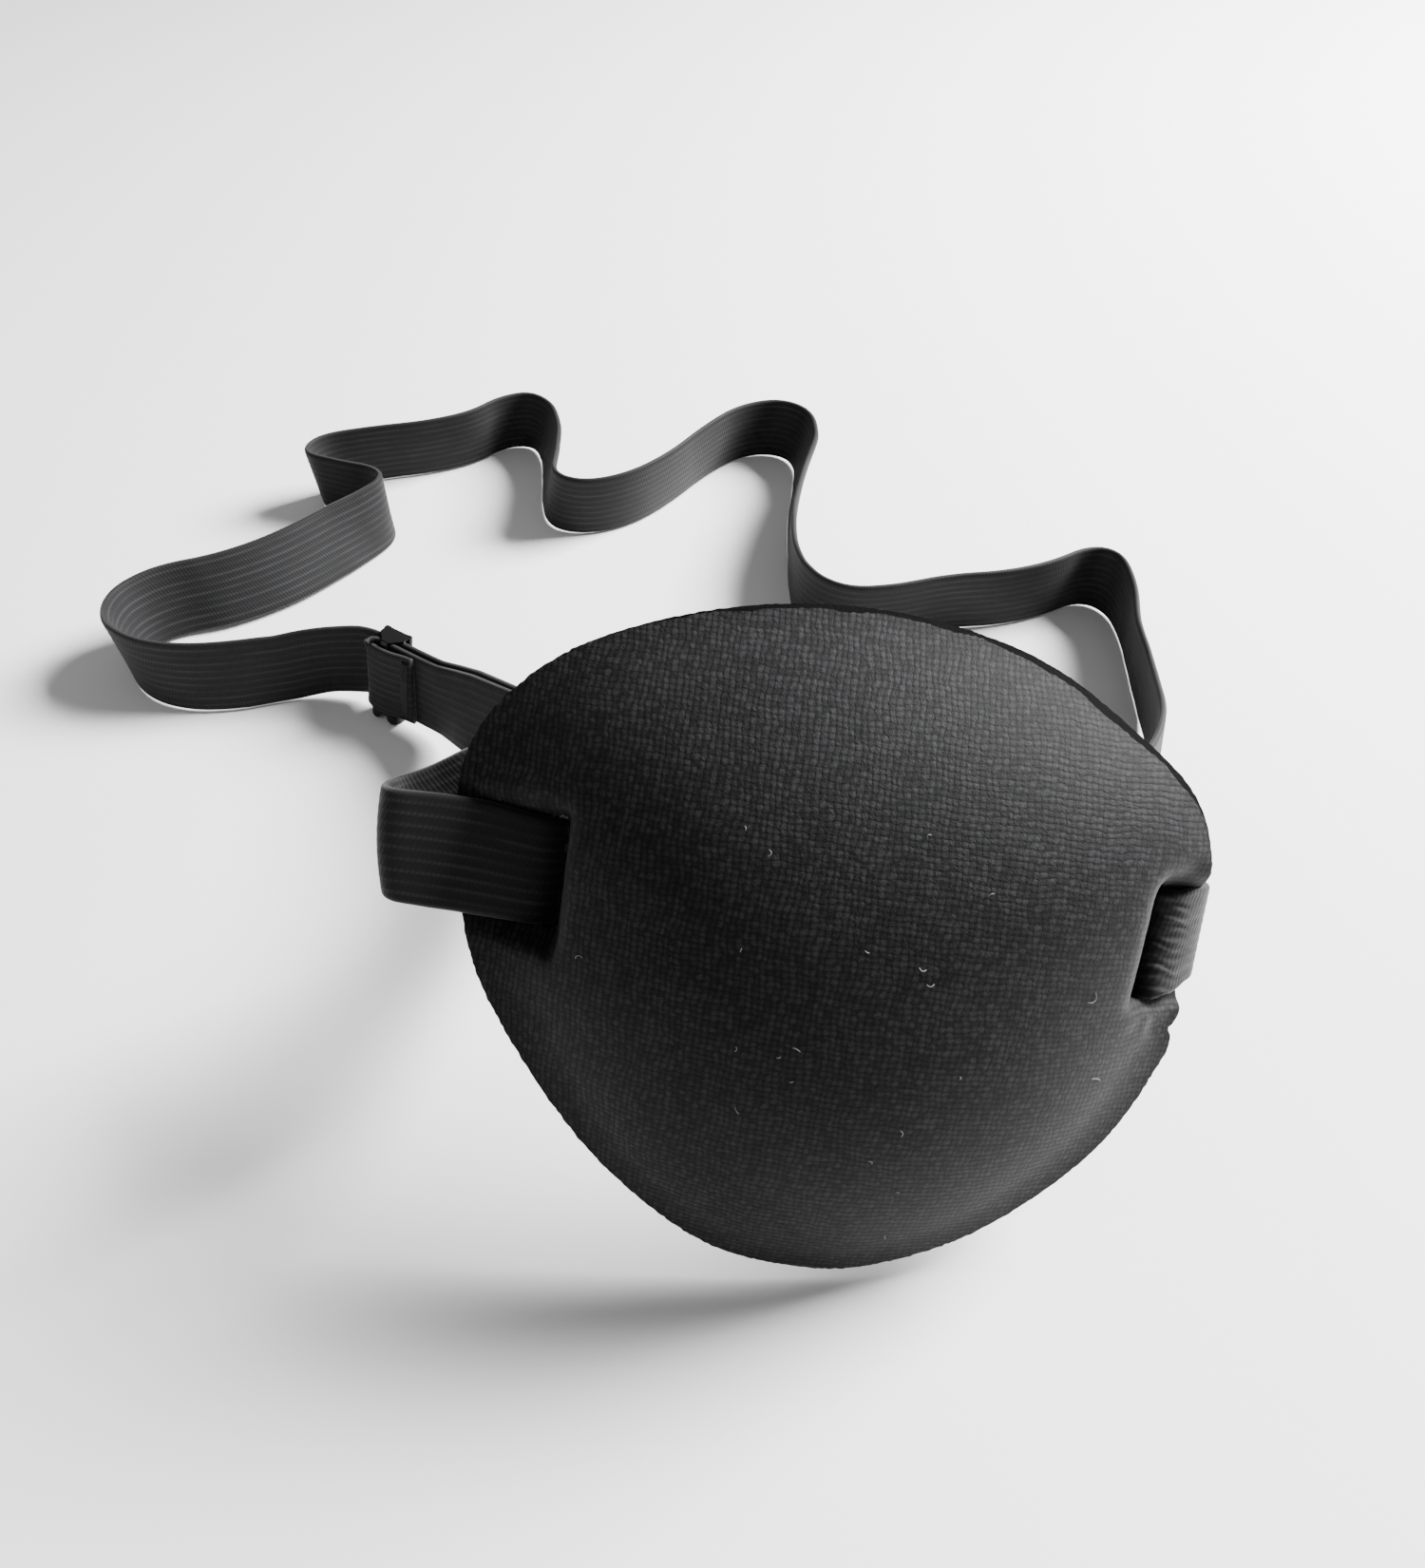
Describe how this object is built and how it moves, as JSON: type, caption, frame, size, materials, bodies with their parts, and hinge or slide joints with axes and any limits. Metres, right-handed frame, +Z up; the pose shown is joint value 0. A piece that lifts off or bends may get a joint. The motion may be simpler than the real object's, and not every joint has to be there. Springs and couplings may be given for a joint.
{
  "type": "eye patch",
  "caption": "Domed padded eye patch in black knit on an adjustable elastic head strap with a three-bar slider.",
  "frame": {"origin": "on the table, under the middle of the box of the patch with its slot loops (without the strap and the slider)", "axes": "+Z up from the table; +X across the patch, to the viewer's right when its domed face is seen; +Y from the patch back to the strap"},
  "size_m": [0.1634, 0.1667, 0.0548],
  "materials": {
    "knit_cover": "fine black weft-knit polyester with a soft sheen",
    "foam": "moulded black polyurethane foam",
    "lining": "smooth black brushed jersey",
    "elastic_tape": "ribbed black braided elastic",
    "slider_plastic": "moulded black acetal",
    "thread": "black polyester sewing thread"
  },
  "bodies": {
    "strap": {"strap_band": "elastic_tape", "strap_left_run": "elastic_tape", "strap_end_run": "elastic_tape", "strap_right_run": "elastic_tape"},
    "patch": {"outer_cover": "knit_cover", "foam_core": "foam", "inner_lining": "lining", "left_slot_loop": "elastic_tape", "right_slot_loop": "elastic_tape", "right_bar_tack": "thread"},
    "slider": {"slider": "slider_plastic", "strap_end_fold": "elastic_tape", "slider_bar_tack": "thread"}
  },
  "joints": [
    {"name": "patch_flip", "type": "hinge", "parent": "strap", "child": "patch", "pos_m": [0.007, 0.0112, 0.0235], "axis": [-0.9903, 0.0895, 0.1066], "range_deg": [0, 60]},
    {"name": "slider_slide", "type": "slide", "parent": "strap", "child": "slider", "axis": [0.8321, -0.5547, 0], "range_m": [-0.002, 0.007]}
  ]
}
